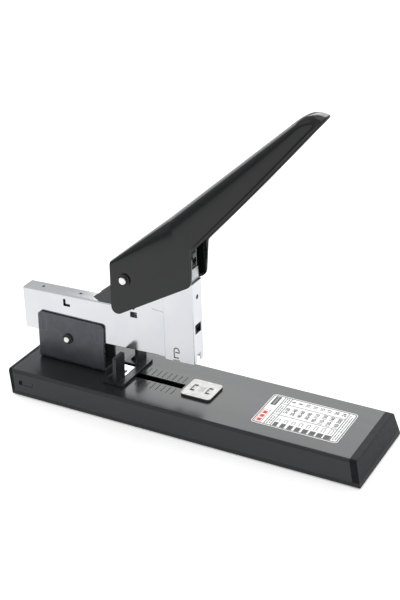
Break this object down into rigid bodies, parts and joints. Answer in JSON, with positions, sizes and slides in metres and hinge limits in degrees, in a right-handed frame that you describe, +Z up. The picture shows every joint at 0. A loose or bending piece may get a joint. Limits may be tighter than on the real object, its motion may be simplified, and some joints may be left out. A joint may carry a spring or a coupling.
{
  "type": "long-lever desk stapler",
  "caption": "Heavy-duty desk stapler: long base with turning anvil, sliding paper stop and chart, pivoting staple head and long lever handle that drives the blade.",
  "frame": {"origin": "centre of the base's footprint, on the underside of the foot mat", "axes": "+X from the rear of the base towards its front, where the chart is; +Z up; +Y to the left when looking along +X"},
  "size_m": [0.2981, 0.082, 0.2516],
  "materials": {
    "cover_paint": "metallic dark grey baked paint, satin",
    "cap_plastic": "moulded black plastic",
    "pan_plastic": "moulded black plastic",
    "mat_rubber": "fine textured black rubber",
    "label_film": "printed white film",
    "bracket_paint": "dark slate baked paint",
    "bright_steel": "bright turned steel",
    "black_ring": "black oxide",
    "spring_steel": "drawn spring wire",
    "nickel_plate": "bright nickel plate",
    "stop_plastic": "moulded black plastic",
    "zinc_plate": "bright zinc plate",
    "lever_paint": "black baked paint",
    "tool_steel": "hardened steel",
    "handle_paint": "gloss black baked paint",
    "staple_wire": "galvanised wire"
  },
  "bodies": {
    "base": {"base_cover": "cover_paint", "rear_end_cap": "cap_plastic", "front_end_cap": "cap_plastic", "base_pan": "pan_plastic", "foot_mat": "mat_rubber", "base_screws": "bright_steel", "chart_label": "label_film", "pivot_bracket": "bracket_paint", "bracket_rivets": "bright_steel", "pivot_pin": "bright_steel", "pivot_pin_rings": "black_ring", "lift_spring": "spring_steel"},
    "anvil": {"anvil_plate": "nickel_plate", "anvil_clip": "spring_steel"},
    "stop": {"paper_stop": "stop_plastic", "stop_slide_plate": "zinc_plate", "stop_screw": "bright_steel", "stop_clamp": "zinc_plate"},
    "head": {"head_casing": "zinc_plate", "front_housing": "zinc_plate", "lift_spring_seat": "zinc_plate", "lever_bracket": "lever_paint", "lever_rivets": "bright_steel", "handle_pin": "bright_steel", "handle_pin_rings": "black_ring", "handle_pin_bushes": "zinc_plate", "return_spring_seat": "zinc_plate", "spring_post": "bright_steel", "return_spring": "spring_steel"},
    "driver": {"driver_blade": "tool_steel", "driver_carriage": "zinc_plate"},
    "handle": {"handle_shell": "handle_paint", "press_yoke": "zinc_plate", "press_pin": "tool_steel"},
    "rail": {"staple_rail": "zinc_plate", "rail_end_block": "stop_plastic", "staple_strip": "staple_wire", "pusher_rod": "bright_steel", "pusher_spring": "spring_steel"},
    "pusher": {"pusher": "zinc_plate"}
  },
  "joints": [
    {"name": "head_swing", "type": "hinge", "parent": "base", "child": "head", "pos_m": [-0.1117, 0, 0.0421], "axis": [0, 1, 0], "range_deg": [0, 12.4], "stiffness_Nm_per_rad": 3.5, "springref_deg": -20.05, "deforming": ["lift_spring"]},
    {"name": "handle_press", "type": "hinge", "parent": "head", "child": "handle", "pos_m": [-0.05769, 0, 0.10593], "axis": [0, 1, 0], "range_deg": [0, 36], "stiffness_Nm_per_rad": 1.2, "springref_deg": -22.92},
    {"name": "driver_slide", "type": "slide", "parent": "head", "child": "driver", "axis": [0.0332, 0, -0.9995], "range_m": [0, 0.029], "deforming": ["return_spring"]},
    {"name": "rail_slide", "type": "slide", "parent": "head", "child": "rail", "axis": [-0.9995, 0, -0.0332], "range_m": [0, 0.06]},
    {"name": "pusher_slide", "type": "slide", "parent": "rail", "child": "pusher", "axis": [0.9995, 0, 0.0332], "range_m": [-0.045, 0], "stiffness_N_per_m": 60, "springref_m": 0.05, "deforming": ["pusher_spring"]},
    {"name": "stop_slide", "type": "slide", "parent": "base", "child": "stop", "axis": [1, 0, 0], "range_m": [-0.002, 0.038]},
    {"name": "anvil_turn", "type": "hinge", "parent": "base", "child": "anvil", "pos_m": [0.0001, 0, 0.0214], "axis": [0, 0, 1], "range_deg": [0, 180]}
  ],
  "couplings": [
    {"joint": "driver_slide", "follows": "handle_press", "m_per_rad": 0.04612}
  ]
}
